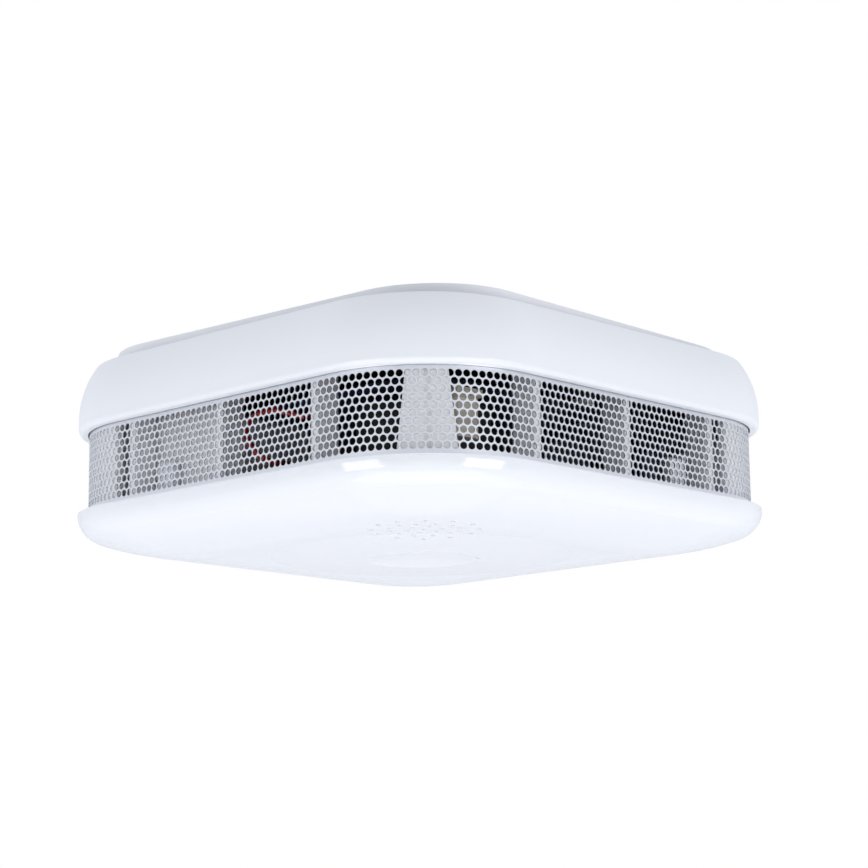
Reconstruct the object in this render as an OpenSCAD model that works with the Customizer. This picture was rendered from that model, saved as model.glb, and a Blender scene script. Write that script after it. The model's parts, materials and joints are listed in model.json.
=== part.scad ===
// Ceiling smoke detector: a rounded-square base on a bayonet plate, a perforated screen and a cover
// that is pressed to test.
// Millimetres. The ceiling is the plane z = 0 and the detector hangs below it.

/* [Outline] */
// Side of the base and of the cover across the flat walls
side = 125; // [115:1:140]
// Radius of the upright corners
corner_r = 29; // [26:1:32]
// Distance from the ceiling to the rim of the base
base_drop = 18; // [17:0.5:22]
// Height of the screen that shows between base and cover
screen_show = 18; // [16:0.5:22]
// Depth of the cover from its lip to its flat, before the crown
cover_depth = 9.2; // [8:0.1:11]
// Running clearance between pieces that move past each other
clear = 0.3; // [0.2:0.05:0.5]

/* [Mounting plate] */
// Inset of the plate's edges from the walls of the base
plate_inset = 8.7; // [7:0.1:12]
// Corner radius of the plate
plate_r = 20.4; // [16:0.2:26]
// Thickness of the plate
plate_t = 2.6; // [2:0.1:4]
// Turn of the plate's edges against the walls of the base
plate_turn = 2.4; // [0:0.1:5]
// Pitch circle of the fixing screws
screw_pcd = 60; // [50:1:62]
// Diameter of a fixing screw's hole
screw_d = 4.6; // [3.5:0.1:5.5]
// Pitch circle of the fixing slots
slot_pcd = 48; // [40:1:50]
// Width of a slot's end that lets a screw's head in
head_entry_d = 8.6; // [8:0.1:9.5]
// Angle that a fixing slot runs through
slot_arc = 44; // [20:1:50]
// Outer radius of the bayonet collar
collar_r = 38; // [37:0.5:39]
// Wall of the collar
collar_t = 2; // [1.5:0.1:3]
// Number of bayonet lugs
lugs = 3; // [2:1:3]
// Reach of a lug outside the collar
lug_reach = 3.5; // [2.5:0.1:4]
// Thickness of a lug
lug_t = 1.8; // [1.4:0.1:2.2]
// Angle that a lug covers
lug_arc = 16; // [12:1:18]
// Twist from locked to released
twist = 25; // [20:1:30]

/* [Base housing] */
// Wall of the base
wall = 2; // [1.6:0.1:2.4]
// Radius of the wall's inward curve towards the ceiling
base_arc_r = 20; // [18:0.5:24]
// Height of the upright part of the wall above the rim
base_upright = 3.5; // [3:0.1:5]
// Rounding of the edge beside the ceiling
base_edge_r = 0.8; // [0.5:0.1:1.2]
// Rounding of the rim's outer edge
rim_edge_r = 1.2; // [0.6:0.1:1.5]
// Diameter of the screw bosses
boss_d = 7; // [6:0.5:8]
// Distance of the screw bosses' middle from both walls of their corner
boss_inset = 20.5; // [19:0.5:22]

/* [Screen] */
// Thickness of the perforated strip
screen_t = 0.25; // [0.2:0.05:0.5]
// Gap round the strip inside the rim of the base
screen_fit = 0.4; // [0.3:0.05:0.6]
// Length of the strip hidden behind the rim
screen_tuck = 1; // [0.8:0.1:1.4]
// Length of the strip hidden behind the cover's lip
screen_foot = 0.5; // [0.4:0.1:0.8]
// Number of rows of holes
hole_rows = 10; // [6:1:10]
// Distance between neighbouring rows
row_pitch = 1.6; // [1.5:0.02:1.65]
// Distance between neighbouring holes of a row
hole_pitch = 1.68; // [1.6:0.02:2.4]
// Diameter of a hole
hole_d = 1.5; // [1:0.02:1.52]
// Distance of the rows' middle above the middle of the strip that shows
hole_rise = 0.25; // [0:0.05:0.4]
// Gap between the strip and the frame that it lies round
screen_lay = 0.05; // [0.05:0.05:0.3]
// Gap where a bend's stretch of the strip meets a straight one
screen_seam = 0.1; // [0.05:0.05:0.3]

/* [Rib frame] */
// Thickness of the deck that carries the circuit board
deck_t = 1.6; // [1.4:0.1:2]
// Gap between the deck and the strip's upper edge
deck_gap = 0.4; // [0.3:0.05:0.6]
// Thickness of a rib
rib_t = 1.7; // [1.2:0.1:2.4]
// Depth of a rib behind the strip
rib_depth = 6; // [5.5:0.5:7.5]
// Distance between the ribs of a side
rib_pitch = 28.3; // [24:0.1:29]
// Thickness of the foot ring
ring_t = 1.4; // [1.2:0.1:1.6]
// Width of a corner post at the deck
post_top_w = 8; // [6:0.1:10]
// Width of a corner post at the foot ring
post_low_w = 12.6; // [8:0.1:14]
// Depth of a corner post behind the strip
post_depth = 4; // [3:0.1:6]
// Width of the groove down the middle of a corner post
post_groove = 1.4; // [0.8:0.1:2]
// Thickness of the walls that close two of the bends
corner_wall_t = 1.8; // [1.4:0.1:2.4]
// Thickness of the foot ring's flange under the strip
foot_t = 0.6; // [0.5:0.1:0.8]
// Gap between the strip's lower edge and that flange
screen_seat = 0.2; // [0.1:0.05:0.3]

/* [Screws] */
// Diameter of the screws that hold the rib frame
frame_screw_d = 2.8; // [2.5:0.1:3.2]
// Length of those screws under the head
frame_screw_l = 8; // [6:0.5:10]
// Diameter of the screws that hold the circuit board
board_screw_d = 2.4; // [2:0.1:2.6]
// Length of those screws under the head
board_screw_l = 4; // [3.6:0.1:4.4]
// Widening of a screw's hole over its shank
screw_fit = 0.2; // [0.1:0.05:0.3]

/* [Cover] */
// Wall of the cover
cover_wall = 1.8; // [1.6:0.1:2]
// Radius of the cover's lower edge
cover_edge_r = 5.75; // [5:0.05:7]
// Radius of the crown in the middle of the cover
crown_r = 600; // [500:10:1200]
// Diameter of the finger dimple
dimple_d = 26; // [20:0.5:30]
// Depth of the finger dimple
dimple_depth = 1; // [0.6:0.1:1.2]
// Radius that softens the dimple's edge
dimple_edge_r = 10; // [6:0.5:14]
// Travel of the cover when it is pressed to test
press = 0.8; // [0.4:0.1:0.9]
// Distance of the sound holes' middle from both walls of their corner
sound_inset = 35; // [34.5:0.5:36.5]
// Distance between the rings of sound holes
sound_pitch = 3.75; // [3.4:0.05:3.8]
// Diameter of a sound hole
sound_d = 1.1; // [0.9:0.1:1.8]
// Width of a hook leg
hook_w = 5; // [4:0.5:6]
// Thickness of a hook leg
hook_t = 2; // [1.6:0.1:2.2]
// Reach of a hook's barb over the foot ring
hook_barb = 1.2; // [0.8:0.1:1.4]
// Height of a hook leg above the foot ring
hook_rise = 8; // [6:0.5:10]

/* [Circuit board] */
// Gap between the ribs and the circuit board
board_gap = 3.4; // [2:0.1:4]
// Corner radius of the circuit board
board_r = 16; // [14:0.5:20]
// Thickness of the circuit board
board_t = 1.6; // [1.2:0.1:2]
// Height of the stand-offs between deck and board
standoff_h = 2.2; // [2:0.1:3.2]
// Diameter of the stand-offs
standoff_d = 5.6; // [5:0.1:7]

/* [Smoke chamber] */
// Radius of the smoke chamber
chamber_r = 20; // [18:0.5:21]
// Height of the labyrinth
vane_h = 11; // [9:0.5:12]
// Number of labyrinth vanes
vanes = 20; // [12:1:24]
// Thickness of a vane
vane_t = 0.9; // [0.7:0.1:1.2]
// Thickness of the chamber's tray
tray_t = 1.6; // [1.2:0.1:2]
// Thickness of the chamber's cap
cap_t = 1.5; // [1.2:0.1:2]
// Diameter of the emitter and of the photodiode
optic_d = 5; // [4:0.5:5]

/* [Power] */
// Diameter of the battery
battery_d = 17; // [16:0.1:17.5]
// Length of the battery with its cap
battery_l = 34.5; // [32:0.1:36]
// Wall of the battery holder
holder_wall = 1.2; // [1:0.1:1.6]
// Gap round the battery in its holder
battery_fit = 0.2; // [0.1:0.05:0.3]
// Length left for a contact at each end of the battery
contact_room = 1.7; // [1.5:0.1:2.2]
// Thickness of a contact
contact_t = 0.4; // [0.3:0.05:0.5]
// Diameter of the battery leads
lead_d = 1.3; // [1:0.1:1.5]

/* [Sounder] */
// Outer radius of the sounder's housing
sounder_r = 14; // [13.5:0.1:15]
// Wall of the sounder's housing
sounder_wall = 1.4; // [1:0.1:1.6]
// Diameter of the sounder's brass disc
disc_d = 24; // [22:0.1:24.4]
// Thickness of the brass disc
disc_t = 0.4; // [0.3:0.1:0.6]

/* [Test switch and light] */
// Side of the switch
switch_w = 6; // [5:0.1:8]
// Height of the switch
switch_h = 3.6; // [3.4:0.1:5]
// Diameter of the switch plunger
plunger_d = 3.4; // [2.6:0.1:3.8]
// Length of the plunger that shows below the switch
plunger_show = 4.5; // [3:0.1:6]
// Diameter of the post on the cover that pushes the plunger
pusher_d = 5; // [4:0.1:6]
// Diameter of the light pipe where it shows
pipe_d = 1.6; // [1.2:0.1:2]
// Diameter of the indicator light
led_d = 3; // [2:0.1:3]

/* [Hidden] */
$fn = 96;
far = 2 * side;
// Length by which a cut runs past the face that it opens
over = 1;

// Levels from the ceiling down
base_top = -(plate_t + clear);
top_under = base_top - wall;
lug_high = top_under - clear;
lug_low = lug_high - lug_t;
rim_z = -base_drop;
screen_high = rim_z + screen_tuck;
deck_low = screen_high + deck_gap;
deck_high = deck_low + deck_t;
board_high = deck_low - standoff_h;
board_low = board_high - board_t;
lip_z = rim_z - screen_show;
screen_low = lip_z - screen_foot;
ring_low = screen_low - screen_seat - foot_t;
ring_high = ring_low + ring_t;
cover_flat = lip_z - cover_depth;
cover_floor = cover_flat + cover_wall;

// Outlines that the strip, the frame and the cover share
flat_l = side - 2 * corner_r;
screen_inset = wall + screen_fit;
screen_w = side - 2 * screen_inset;
screen_r = corner_r - screen_inset;
frame_w = screen_w - 2 * (screen_t + screen_lay);
frame_r = screen_r - screen_t - screen_lay;
foot_w = screen_w - screen_t;
foot_r = screen_r - screen_t / 2;

// Outlines of the board and of the ceiling plate, and the places of the bosses and the sound holes
board_w = frame_w - 2 * (rib_depth + board_gap);
plate_w = side - 2 * plate_inset;
boss_at = side / 2 - boss_inset;
sound_at = side / 2 - sound_inset;

// The base's wall: an upright, an arc and a small edge, all tangent
base_arc_x = corner_r - base_arc_r;
base_arc_z = rim_z + base_upright;
base_edge_z = base_top - base_edge_r;
base_edge_x = base_arc_x + sqrt(pow(base_arc_r - base_edge_r, 2) - pow(base_edge_z - base_arc_z, 2));
base_edge_angle = atan2(base_edge_z - base_arc_z, base_edge_x - base_arc_x);

// The cover's wall: an edge arc and a wide arc that runs level at the corner's centre
cover_edge_x = corner_r - cover_edge_r;
cover_arc_r = (pow(cover_edge_x, 2) + pow(cover_depth, 2) - pow(cover_edge_r, 2))
              / (2 * (cover_depth - cover_edge_r));
cover_arc_z = cover_flat + cover_arc_r;
cover_arc_angle = asin(cover_edge_x / (cover_arc_r - cover_edge_r));
crown_reach = flat_l / 2;
crown_h = crown_r - sqrt(pow(crown_r, 2) - pow(crown_reach, 2));
cover_low = cover_flat - crown_h;
crown_z = cover_low + crown_r;

// The dimple: a hollow ball's cut and the ring that softens its edge, tangent to the ball and to the crown
dimple_r = (pow(dimple_d / 2, 2) + pow(dimple_depth, 2)) / (2 * dimple_depth);
dimple_z = cover_low + dimple_depth - dimple_r;
soft_in = dimple_r + dimple_edge_r;
soft_out = crown_r - dimple_edge_r;
soft_z = (pow(soft_in, 2) - pow(soft_out, 2) + pow(crown_z, 2) - pow(dimple_z, 2))
         / (2 * (crown_z - dimple_z));
soft_x = sqrt(pow(soft_in, 2) - pow(soft_z - dimple_z, 2));
soft_from = [0, dimple_z] + dimple_r / soft_in * [soft_x, soft_z - dimple_z];
soft_to = [0, crown_z] + crown_r / soft_out * [soft_x, soft_z - crown_z];

// Places on the board, in part measured from its edges
switch_at = [0, 0];
led_at = [10, 8];
chamber_at = [-18, 21];
chip_at = [30, 16];
coil_inset = [3.5, 12];
coil_at = [board_w / 2 - coil_inset.x, coil_inset.y - board_w / 2];
capacitor_inset = [13.5, 15.5];
capacitor_at = [board_w / 2 - capacitor_inset.x, board_w / 2 - capacitor_inset.y];
standoff_inset = 4.5;
standoff_in = board_w / 2 - standoff_inset;
standoff_at = [[-standoff_in, -12], [standoff_in, 2], [14, standoff_in], [9, -39]];
plunger_low = board_low - switch_h - plunger_show;
plunger_hidden = 1.4;
plunger_high = board_low - switch_h + plunger_hidden;
pusher_gap = 0.15;
pipe_fit = 0.1;

// Chamber: its cap's rim, and each optical part's direction, distance from the middle, length and height
cap_rim_t = 0.6;
optic_angles = [10, 150];
optic_near = 5;
optic_l = 7;
optic_seat = 0.6;
optic_z = board_low - tray_t - optic_d / 2 - optic_seat;

// Height of the sounder's disc, and of the indicator light
disc_drop = 8;
disc_z = board_low - disc_drop;
led_h = 5;

// Sound holes: holes of each ring and the angle of its first hole
sound_rings = [[1, 0], [6, 30], [12, 0], [12, 15]];

// Hook legs: the side that each stands behind and its distance from that side's middle
hook_places = [[0, 22], [90, 22], [180, 22], [270, -22]];
hook_set = 4;
hook_out = frame_w / 2 - hook_set;
hook_in = hook_out - hook_t;
hook_top = ring_high + hook_rise;
hook_local = (hook_in + hook_out) / 2 - flat_l / 2;
hook_root = cover_arc_z - sqrt(pow(cover_arc_r - cover_wall / 2, 2) - pow(hook_local, 2));

// Battery holder: its box hangs from the board, with the battery level along X
holder_in = battery_d + 2 * battery_fit;
holder_w = holder_in + 2 * holder_wall;
holder_l = battery_l + 2 * contact_room + 2 * holder_wall;
holder_right = -1;
holder_left = holder_right - holder_l;
holder_front = clear - (frame_w / 2 - rib_depth);
battery_y = holder_front + holder_w / 2;
battery_z = board_low - holder_wall - holder_in / 2;
holder_low = ring_high + clear;

// Tails of the contacts, and the gap at each end of a lead
tail_w = 2.4;
tail_out = 1;
lead_gap = 0.05;
lead_rise = board_low - lead_gap - battery_z;
lead_reach = battery_y + frame_w / 2 - rib_depth - clear - lead_d / 2;

// Battery leads from a contact's tail to the board: the way outwards from the tail in the lead's thickness,
// the share of the way to the ribs, and the share of the way up to the board
lead_from = lead_gap / lead_d;
red_way = [[lead_from, 0, 0], [1.7, 0, 0], [3.7, 0.17, -0.03], [5.1, 0.46, -0.07], [5.2, 0.76, -0.08],
           [4.3, 0.95, -0.02], [2.9, 1, 0.13], [1.5, 1, 0.31], [0.6, 1, 0.48], [0.3, 1, 0.64], [0.9, 1, 0.82],
           [2.3, 1, 0.94], [4.6, 1, 0.98], [7.7, 1, 0.96], [10, 0.91, 0.86], [11.7, 0.72, 0.78],
           [12.3, 0.52, 0.86], [12.3, 0.48, 0.93], [12.3, 0.48, 1]];
black_way = [[lead_from, 0, 0], [1.6, 0, 0], [2.8, -0.11, 0.19], [3.3, -0.28, 0.41], [3.2, -0.46, 0.64],
             [2.8, -0.58, 0.84], [2.8, -0.6, 0.93], [2.8, -0.6, 1]];
red_route = [for (p = red_way)
  [holder_right + tail_out + p.x * lead_d, battery_y - p.y * lead_reach, battery_z + p.z * lead_rise]];
black_route = [for (p = black_way)
  [holder_left - tail_out - p.x * lead_d, battery_y - p.y * lead_reach, battery_z + p.z * lead_rise]];

// Square outline with round corners
module rounded_square(w, r) {
  square([w - 2 * r, w], center = true);
  square([w, w - 2 * r], center = true);
  for (x = [-1, 1], y = [-1, 1])
    translate([x * (w / 2 - r), y * (w / 2 - r)]) circle(r);
}

// Sweeps a profile round the walls: its x is the distance from the corner's centre, its y the height
module sweep_walls() {
  for (a = [0 : 90 : 270]) rotate([0, 0, a]) translate([flat_l / 2, flat_l / 2, 0]) {
    rotate_extrude(angle = 90) children();
    rotate([90, 0, 0]) linear_extrude(flat_l) children();
  }
}

// Sector of a ring about the Z axis, standing on z = low
module ring_sector(inner, outer, low, h, from, arc) {
  rotate([0, 0, from]) translate([0, 0, low]) rotate_extrude(angle = arc)
    translate([inner, 0]) square([outer - inner, h]);
}

// Closed tube with flat ends along a route of points
module lead(route, d) {
  sides = 8;
  last = len(route) - 1;
  rings = [for (i = [0 : last])
    let (
      ahead = route[min(i + 1, last)] - route[max(i - 1, 0)],
      t = ahead / norm(ahead),
      ref = abs(t.z) > 0.9 ? [1, 0, 0] : [0, 0, 1],
      u = cross(ref, t) / norm(cross(ref, t)),
      v = cross(t, u)
    )
    for (k = [0 : sides - 1]) route[i] + d / 2 * (u * cos(360 * k / sides) + v * sin(360 * k / sides))];
  walls = [for (i = [0 : last - 1], k = [0 : sides - 1])
    let (a = i * sides + k, b = i * sides + (k + 1) % sides)
    each [[a, a + sides, b + sides], [a, b + sides, b]]];
  polyhedron(rings, concat(walls, [[for (k = [0 : sides - 1]) k]],
                           [[for (k = [sides - 1 : -1 : 0]) last * sides + k]]), convexity = 8);
}

// Ceiling plate with fixing holes and slots, and the bayonet collar under it
module mounting_plate() {
  color("gainsboro") difference() {
    union() {
      translate([0, 0, -plate_t]) rotate([0, 0, plate_turn]) linear_extrude(plate_t)
        rounded_square(plate_w, plate_r);
      ring_sector(collar_r - collar_t, collar_r, lug_low, -plate_t - lug_low, 0, 360);
      for (k = [0 : lugs - 1])
        ring_sector(collar_r - collar_t / 2, collar_r + lug_reach, lug_low, lug_t,
                    lug_from(k), lug_arc);
    }
    for (a = [0, 180]) rotate([0, 0, a]) {
      plate_hole(screw_pcd, screw_d);
      fixing_slot();
    }
  }
}

// Round hole through the plate on a pitch circle
module plate_hole(pcd, d) {
  translate([pcd / 2, 0, -plate_t - over]) cylinder(d = d, h = plate_t + 2 * over, $fn = 48);
}

// Keyhole slot: a screw's head goes in at one end, and its shank runs along the slot when the plate turns
module fixing_slot() {
  rotate([0, 0, 90 - slot_arc / 2]) plate_hole(slot_pcd, head_entry_d);
  ring_sector((slot_pcd - screw_d) / 2, (slot_pcd + screw_d) / 2, -plate_t - over, plate_t + 2 * over,
              90 - slot_arc / 2, slot_arc);
}

// Angle at which a lug begins
function lug_from(k) = 30 + 360 * k / lugs - lug_arc / 2;

// Outer side of the base's wall
module base_outer() {
  intersection() {
    union() {
      translate([0, base_arc_z]) square([base_edge_x, base_top - base_arc_z]);
      translate([base_edge_x, base_edge_z]) circle(base_edge_r);
      translate([base_arc_x, base_arc_z]) intersection() {
        circle(base_arc_r);
        polygon([[0, 0], [far, 0], [far, far * tan(base_edge_angle)]]);
      }
      translate([0, rim_z + rim_edge_r]) square([corner_r, base_upright - rim_edge_r]);
      translate([0, rim_z]) square([corner_r - rim_edge_r, base_upright]);
      translate([corner_r - rim_edge_r, rim_z + rim_edge_r]) circle(rim_edge_r);
    }
    translate([0, rim_z]) square([corner_r, base_top - rim_z]);
  }
}

// Hollow inside the base's wall
module base_inner() {
  intersection() {
    union() {
      translate([base_arc_x, base_arc_z]) circle(base_arc_r - wall);
      translate([0, rim_z - over]) square([corner_r - wall, base_upright + over]);
      translate([0, base_arc_z]) square([base_arc_x, top_under - base_arc_z]);
    }
    translate([0, rim_z - over]) square([corner_r - wall, top_under - rim_z + over]);
  }
}

// Base: a shell with the bayonet's mouth, its stops and four screw bosses
module base_housing() {
  mouth_r = collar_r + clear;
  lug_room = 1.5;
  stop_arc = 6;
  stop_set = 0.6;
  root = wall / 2;
  color("white") difference() {
    union() {
      sweep_walls() difference() {
        base_outer();
        base_inner();
      }
      translate([-flat_l / 2, -flat_l / 2, top_under]) cube([flat_l, flat_l, wall]);
      for (x = [-1, 1], y = [-1, 1])
        translate([x * boss_at, y * boss_at, deck_high])
          cylinder(d = boss_d, h = top_under + root - deck_high);
      for (k = [0 : lugs - 1], from = [-lug_room - stop_arc, lug_arc + twist + lug_room])
        ring_sector(mouth_r + stop_set, collar_r + lug_reach, lug_low, top_under + root - lug_low,
                    lug_from(k) + from, stop_arc);
    }
    translate([0, 0, top_under - over]) cylinder(r = mouth_r, h = wall + 2 * over);
    for (k = [0 : lugs - 1])
      ring_sector(collar_r - over, collar_r + lug_reach + clear, top_under - over, wall + 2 * over,
                  lug_from(k) + twist - lug_room, lug_arc + 2 * lug_room);
    for (x = [-1, 1], y = [-1, 1])
      translate([x * boss_at, y * boss_at, deck_high - over])
        cylinder(d = frame_screw_d + screw_fit, h = frame_screw_l, $fn = 32);
  }
}

// Rib frame: the deck, the ribs and corner posts behind the strip, and the foot ring under it
module rib_frame() {
  rib_h = deck_low - ring_low;
  deck_skin = 0.4;
  color("white") difference() {
    union() {
      translate([0, 0, deck_low]) linear_extrude(deck_t) rounded_square(screen_w, screen_r);
      for (a = [0 : 90 : 270], k = [-1 : 1]) rotate([0, 0, a])
        translate([k * rib_pitch - rib_t / 2, -frame_w / 2, ring_low]) cube([rib_t, rib_depth, rib_h]);
      translate([0, 0, ring_low]) linear_extrude(ring_t) difference() {
        rounded_square(frame_w, frame_r);
        rounded_square(frame_w - 2 * rib_depth, frame_r - rib_depth);
      }
      translate([0, 0, ring_low]) linear_extrude(foot_t) difference() {
        rounded_square(foot_w, foot_r);
        rounded_square(frame_w - 2 * rib_depth, frame_r - rib_depth);
      }
      corner_posts();
      corner_walls();
      for (p = standoff_at)
        translate([p.x, p.y, board_high]) cylinder(d = standoff_d, h = standoff_h, $fn = 48);
    }
    for (x = [-1, 1], y = [-1, 1])
      translate([x * boss_at, y * boss_at, deck_low - over])
        cylinder(d = frame_screw_d + 2 * screw_fit, h = deck_t + 2 * over, $fn = 32);
    for (p = standoff_at)
      translate([p.x, p.y, board_high - over])
        cylinder(d = board_screw_d + screw_fit, h = standoff_h + deck_t - deck_skin + over, $fn = 32);
    for (h = hook_places) rotate([0, 0, h[0]])
      translate([frame_w / 2 - rib_depth - over, h[1] - hook_w / 2 - clear, ring_low - over])
        cube([hook_out + clear - frame_w / 2 + rib_depth + over, hook_w + 2 * clear, ring_t + 2 * over]);
  }
}

// Upright wall of a thickness behind the whole strip, from the foot ring to the deck
module frame_wall(t) {
  translate([0, 0, ring_low]) linear_extrude(deck_low - ring_low) difference() {
    rounded_square(frame_w, frame_r);
    rounded_square(frame_w - 2 * t, frame_r - t);
  }
}

// Posts behind two of the strip's bends, wider at the foot, grooved down the middle
module corner_posts() {
  groove_depth = 0.35;
  groove_r = sqrt(2) * (frame_w / 2 - frame_r) + frame_r;
  for (a = [135, 315]) difference() {
    intersection() {
      frame_wall(post_depth);
      rotate([0, 0, a]) rotate([90, 0, 90]) linear_extrude(side)
        polygon([[-post_low_w / 2, ring_low], [post_low_w / 2, ring_low],
                 [post_top_w / 2, deck_low], [-post_top_w / 2, deck_low]]);
    }
    rotate([0, 0, a]) translate([groove_r - groove_depth, -post_groove / 2, ring_high])
      cube([groove_depth + over, post_groove, deck_low - ring_high]);
  }
}

// Walls that close the other two bends
module corner_walls() {
  for (a = [0, 180]) intersection() {
    frame_wall(corner_wall_t);
    rotate([0, 0, a]) translate([flat_l / 2, flat_l / 2, ring_low]) cube([side, side, deck_low - ring_low]);
  }
}

// Pan-head screw, head down, with its shank upwards from z = 0
module screw(d, l) {
  head_h = 0.6 * d;
  translate([0, 0, -head_h]) cylinder(d = 2 * d, h = head_h, $fn = 48);
  cylinder(d = d, h = l, $fn = 32);
}

// Screws that hold the rib frame to the base
module frame_screws() {
  color("silver") for (x = [-1, 1], y = [-1, 1])
    translate([x * boss_at, y * boss_at, deck_low]) screw(frame_screw_d, frame_screw_l);
}

// Straight stretch of the strip along the front side, drilled in staggered rows
module screen_panel() {
  columns = round(flat_l / hole_pitch);
  h = screen_high - screen_low;
  color("silver") translate([0, screen_t - screen_w / 2, 0]) rotate([90, 0, 0]) linear_extrude(screen_t)
    difference() {
      translate([-(flat_l - screen_seam) / 2, screen_low]) square([flat_l - screen_seam, h]);
      for (row = [0 : hole_rows - 1], column = [-1 : columns])
        translate([((column + stagger(row)) / columns - 0.5) * flat_l, row_z(row)])
          circle(d = hole_d, $fn = 24);
    }
}

// Bend of the strip round the corner at the front right, drilled in line with the straight stretches
module screen_bend() {
  columns = round(PI / 2 * screen_r / hole_pitch);
  h = screen_high - screen_low;
  color("silver") translate([flat_l / 2, -flat_l / 2, 0]) rotate([0, 0, -90]) difference() {
    ring_sector(screen_r - screen_t, screen_r, screen_low, h, 0, 90);
    for (row = [0 : hole_rows - 1], column = [-1 : columns])
      rotate([0, 0, (column + stagger(row)) / columns * 90])
        translate([screen_r - 2 * screen_t, 0, row_z(row)])
          rotate([0, 90, 0]) cylinder(d = hole_d, h = 3 * screen_t, $fn = 24);
  }
}

// Place of a row's first hole along the strip, in pitches
function stagger(row) = row % 2 == 0 ? 0.75 : 0.25;

// Height of a row of holes
function row_z(row) = (rim_z + lip_z) / 2 + hole_rise + (row - (hole_rows - 1) / 2) * row_pitch;

// Cover's wall seen in section, moved inwards by t
module cover_section(t, top) {
  intersection() {
    union() {
      translate([cover_edge_x, lip_z]) circle(cover_edge_r - t);
      translate([0, cover_arc_z]) intersection() {
        circle(cover_arc_r - t, $fn = 720);
        polygon([[0, 0], [0, -far], [far * sin(cover_arc_angle), -far * cos(cover_arc_angle)]]);
      }
      translate([0, lip_z]) square([corner_r - t, over]);
    }
    translate([0, cover_flat + t]) square([corner_r - t, top - cover_flat - t]);
  }
}

// Finger dimple seen in section, with its softened edge
module dimple_section() {
  intersection() {
    translate([0, dimple_z]) circle(dimple_r, $fn = 720);
    translate([0, cover_low - over]) square([dimple_d, over + dimple_depth]);
  }
  difference() {
    polygon([soft_from, soft_to, [soft_to.x, cover_low - over], [soft_from.x, cover_low - over]]);
    translate([soft_x, soft_z]) circle(dimple_edge_r, $fn = 720);
  }
}

// Cover: a crowned dish with the sound holes, hook legs and the post that pushes the switch
module lower_cover() {
  drill_h = cover_wall + crown_h + 2 * over;
  pusher_root = cover_wall / 2;
  color("white") difference() {
    union() {
      sweep_walls() difference() {
        cover_section(0, lip_z);
        cover_section(cover_wall, lip_z + over);
      }
      translate([-flat_l / 2, -flat_l / 2, cover_flat]) cube([flat_l, flat_l, cover_wall]);
      rotate_extrude() intersection() {
        translate([0, crown_z]) circle(crown_r, $fn = 2880);
        translate([0, cover_low]) square([crown_reach, crown_h + cover_wall]);
      }
      translate([switch_at.x, switch_at.y, cover_floor - pusher_root])
        cylinder(d = pusher_d, h = plunger_low - pusher_gap - cover_floor + pusher_root, $fn = 48);
      for (h = hook_places) rotate([0, 0, h[0]]) translate([0, h[1], 0]) hook_leg();
    }
    rotate_extrude($fn = 240) dimple_section();
    for (ring = [0 : len(sound_rings) - 1], k = [1 : sound_rings[ring][0]])
      translate([sound_at, -sound_at, cover_low - over])
        rotate([0, 0, sound_rings[ring][1] + 360 * k / sound_rings[ring][0]])
          translate([ring * sound_pitch, 0, 0]) cylinder(d = sound_d, h = drill_h, $fn = 24);
    translate([led_at.x, led_at.y, cover_low - over])
      cylinder(d = pipe_d + 2 * pipe_fit, h = drill_h, $fn = 24);
  }
}

// Leg of the cover that passes through the foot ring and hooks over it
module hook_leg() {
  barb_low = ring_high + clear;
  barb_t = 0.6;
  barb_h = 3;
  rotate([90, 0, 0]) translate([0, 0, -hook_w / 2]) linear_extrude(hook_w)
    polygon([[hook_in, hook_root], [hook_out, hook_root], [hook_out, barb_low],
             [hook_out + hook_barb, barb_low], [hook_out + hook_barb, barb_low + barb_t],
             [hook_out, barb_low + barb_h], [hook_out, hook_top], [hook_in, hook_top]]);
}

// Circuit board with its stand-off holes
module circuit_board() {
  color("midnightblue") translate([0, 0, board_low]) linear_extrude(board_t) difference() {
    rounded_square(board_w, board_r);
    for (p = standoff_at) translate(p) circle(d = board_screw_d + 2 * screw_fit, $fn = 32);
  }
}

// Screws that hold the circuit board to its stand-offs
module board_screws() {
  color("silver") for (p = standoff_at) translate([p.x, p.y, board_low]) screw(board_screw_d, board_screw_l);
}

// Controller in a flat package with pins along two sides
module controller_chip() {
  body = [6, 10, 1.6];
  lift = 0.15;
  pin_w = 0.45;
  pin_t = 0.2;
  pin_l = 0.8;
  pins = 7;
  pin_pitch = 1.27;
  color("dimgray") translate([chip_at.x, chip_at.y, board_low - body.z - lift]) {
    translate([-body.x / 2, -body.y / 2, 0]) cube(body);
    for (a = [0, 180], k = [0 : pins - 1]) rotate([0, 0, a])
      translate([body.x / 2, (k - (pins - 1) / 2) * pin_pitch - pin_w / 2, body.z / 2]) {
        translate([-pin_t, 0, 0]) cube([pin_l + 2 * pin_t, pin_w, pin_t]);
        translate([pin_l, 0, 0]) cube([pin_t, pin_w, body.z / 2 + lift]);
      }
  }
}

// Electrolytic capacitor, standing on the board's underside
module capacitor() {
  can_r = 4;
  can_h = 11;
  edge = 0.8;
  crimp_z = 1.8;
  crimp_depth = 0.5;
  color("darkslateblue") translate([capacitor_at.x, capacitor_at.y, board_low - can_h])
    rotate_extrude() difference() {
      union() {
        translate([0, edge]) square([can_r, can_h - edge]);
        square([can_r - edge, can_h]);
        translate([can_r - edge, edge]) circle(edge, $fn = 32);
      }
      translate([can_r + edge - crimp_depth, can_h - crimp_z]) circle(edge, $fn = 32);
    }
}

// Step-up coil of the sounder: a taped winding on a square foot
module step_up_coil() {
  coil_w = 7;
  coil_h = 10;
  coil_edge_r = 1.2;
  base_h = 1.5;
  base_w = 8;
  base_r = 0.5;
  color("wheat") translate([coil_at.x, coil_at.y, board_low - coil_h]) {
    linear_extrude(coil_h - base_h) rounded_square(coil_w, coil_edge_r);
    translate([0, 0, coil_h - base_h]) linear_extrude(base_h) rounded_square(base_w, base_r);
  }
}

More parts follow.
